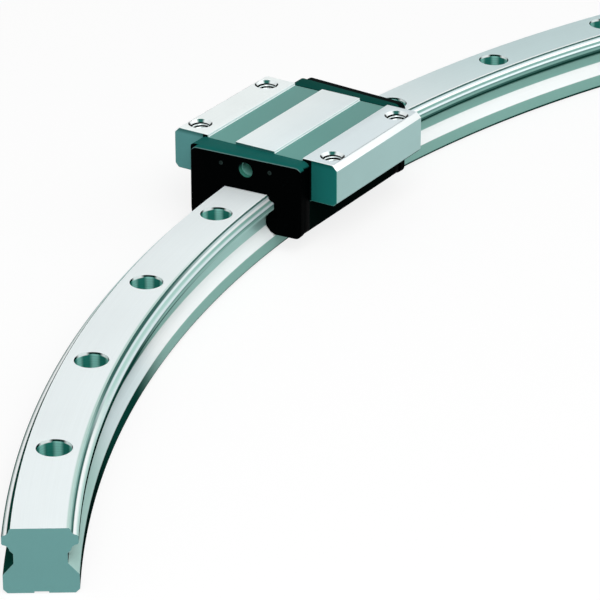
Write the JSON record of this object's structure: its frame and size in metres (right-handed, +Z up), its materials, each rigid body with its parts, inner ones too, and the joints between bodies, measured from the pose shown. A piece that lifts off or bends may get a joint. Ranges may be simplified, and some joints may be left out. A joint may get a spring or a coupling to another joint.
{
  "type": "curved linear guide rail",
  "caption": "Curved ball guide: a bent steel rail with ground raceways and counterbored screw holes, and a flanged carriage with tapped holes, end plates and seals that travels along it.",
  "frame": {"origin": "on the plane of the rail's underside, midway between the rail holes next to the carriage on each side", "axes": "+X along the carriage's travel where it rests, towards the shorter run of rail; +Y out of the bend; +Z up from the rail's underside to the carriage's top"},
  "size_m": [0.5151, 0.129, 0.036],
  "materials": {
    "rail_steel": "ground bearing steel",
    "block_steel": "ground and milled steel",
    "end_resin": "moulded dark green resin",
    "seal_rubber": "black nitrile rubber"
  },
  "bodies": {
    "rail": {"guide_rail": "rail_steel"},
    "carriage": {"carriage_block": "block_steel", "end_plate_near": "end_resin", "end_plate_far": "end_resin", "end_seal_near": "seal_rubber", "end_seal_far": "seal_rubber"}
  },
  "joints": [
    {"name": "carriage_travel", "type": "hinge", "parent": "rail", "child": "carriage", "pos_m": [0, -0.49627, 0], "axis": [0, 0, 1], "range_deg": [-21.95, 28.95]}
  ]
}
